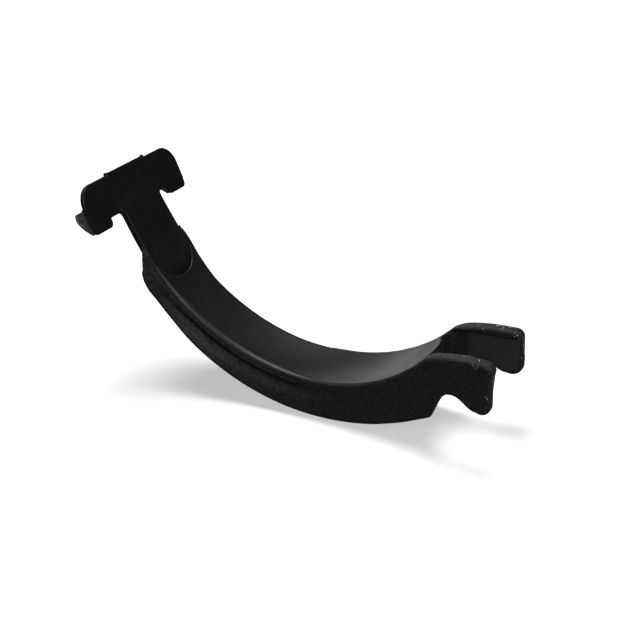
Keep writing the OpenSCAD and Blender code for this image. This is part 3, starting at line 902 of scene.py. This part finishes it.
def apply_all(ob):
    depsgraph = bpy.context.evaluated_depsgraph_get()
    mesh = bpy.data.meshes.new_from_object(ob.evaluated_get(depsgraph))
    ob.modifiers.clear()
    old = ob.data
    ob.data = mesh
    bpy.data.meshes.remove(old)


def inflate(ob):
    """Blows the pad up as cloth, then limits how far each point has moved."""
    last_frame, most_move = 20, 0.0007
    rest = read_points(ob.data)
    cloth = ob.modifiers.new("cloth", "CLOTH")
    settings = cloth.settings
    settings.quality = 6
    settings.use_pressure = True
    settings.uniform_pressure_force = 4.0
    settings.mass = 0.15
    settings.tension_stiffness = 25
    settings.compression_stiffness = 25
    settings.shear_stiffness = 12
    settings.bending_stiffness = 0.4
    settings.effector_weights.gravity = 0.0
    scene = bpy.context.scene
    for timed in (scene, cloth.point_cache):
        timed.frame_start = 1
        timed.frame_end = last_frame
    for i in range(1, last_frame + 1):
        scene.frame_set(i)
    apply_all(ob)
    move = read_points(ob.data) - rest
    length = np.linalg.norm(move, axis=1, keepdims=True)
    write_points(ob.data, rest + move * np.minimum(1.0, most_move / np.maximum(length, 1e-9)))
    scene.frame_set(1)


def seat_pad(ob):
    """Keeps the pad inside its recess and adds the sewn line parallel to its long edges."""
    points = to_drawing(read_points(ob.data))
    x, y, z = points.T
    depth = np.clip(under_height(x, z), -1.45, 4.42)
    on_outside = np.clip((0.6 - depth) / 1.2, 0, 1)
    from_edge = RECESS_HALF - np.abs(y)
    depth = depth + np.exp(-((from_edge - 3.1) / 0.55) ** 2) * 0.75 * on_outside
    radius = np.where(x < UNDER_LOW[0], *UNDER_RADII)
    centre_z = UNDER_LOW[1] + radius
    away_x = x - UNDER_LOW[0]
    away_z = z - centre_z
    away = radial(away_x, away_z)
    seated = np.stack([UNDER_LOW[0] + away_x / away * (radius - depth),
                       np.clip(y, -RECESS_HALF, RECESS_HALF),
                       centre_z + away_z / away * (radius - depth)], axis=1)
    write_points(ob.data, to_scene(seated))


pad = build_pad()
remesh = pad.modifiers.new("vox", "REMESH")
remesh.mode = "VOXEL"
remesh.voxel_size = 0.0016
apply_all(pad)
inflate(pad)
subdivide = pad.modifiers.new("sub", "SUBSURF")
subdivide.levels = 1
subdivide.render_levels = 1
apply_all(pad)
seat_pad(pad)
for face in pad.data.polygons:
    face.use_smooth = True
fit(pad, KNIT, "frame", "shoulder_pad")


# ---------------------------------------------------------------- floor and world
def floor_material():
    """Pale to the camera, darker to other rays, so the black plastic keeps its depth."""
    look = Look("floor_white")
    camera_ray = look.add("LightPath").outputs["Is Camera Ray"]
    # away from the object the floor runs to plain white
    position = look.add("NewGeometry").outputs["Position"]
    distance = look.add("VectorMath", {0: position}, operation="LENGTH").outputs["Value"]
    glow = look.add("MapRange", {
        "Value": distance, "From Min": 0.22, "From Max": 0.75,
        "To Min": 0.02, "To Max": 1.0}).outputs["Result"]
    return look.finish({
        "Base Color": look.mix(camera_ray, 0.16, 0.55),
        "Roughness": 0.9,
        "Specular IOR Level": 0.0,
        "Emission Color": (1, 1, 1, 1),
        "Emission Strength": look.times(camera_ray, glow)})


bpy.ops.mesh.primitive_plane_add(size=8.0, location=(0, 0, 0.0))
floor = bpy.context.object
floor.name = "floor"
floor.data.materials.append(floor_material())

world = bpy.data.worlds.new("studio")
bpy.context.scene.world = world
world.use_nodes = True
world_tree = world.node_tree
world_tree.nodes.clear()
world_output = world_tree.nodes.new("ShaderNodeOutputWorld")
background = world_tree.nodes.new("ShaderNodeBackground")
world_tree.links.new(background.outputs[0], world_output.inputs[0])
background.inputs["Color"].default_value = (1, 1, 1, 1)
background.inputs["Strength"].default_value = 0.05


# ---------------------------------------------------------------- lights and camera, metres
def aim(ob, direction):
    ob.rotation_euler = direction.to_track_quat("-Z", "Y").to_euler()


def area(name, location, width, height, power, target=(0, 0, 0.03), shadow=True):
    light = bpy.data.lights.new(name, "AREA")
    light.energy = power
    light.shape = "RECTANGLE"
    light.size = width
    light.size_y = height
    light.use_shadow = shadow
    ob = add_object(name, light)
    ob.location = location
    aim(ob, Vector(target) - Vector(location))


area("key", (-0.30, 0.34, 1.22), width=0.7, height=0.6, power=25.0)
area("bead", (0.80, -0.42, 1.00), width=0.28, height=0.20, power=20.0, shadow=False)
area("horizon", (-0.72, 1.02, 0.09), width=0.7, height=0.12, power=1.5, target=(0.08, 0, 0.03))
area("front", (0.15, -1.25, 0.75), width=0.8, height=0.5, power=4.0)

lens = bpy.data.cameras.new("camera")
camera = add_object("camera", lens)
lens.sensor_width = 36.0
lens.lens = 73.125
lens.clip_start = 0.01
camera.location = to_scene((400.86, -564.41, 346.0))
pitch = math.radians(25.5)      # down from level
azimuth = math.radians(26.4)    # from +Y towards -X
aim(camera, Vector((-math.sin(azimuth) * math.cos(pitch),
                    math.cos(azimuth) * math.cos(pitch),
                    -math.sin(pitch))))
scene = bpy.context.scene
scene.camera = camera
scene.view_settings.view_transform = "Standard"
scene.view_settings.look = "None"
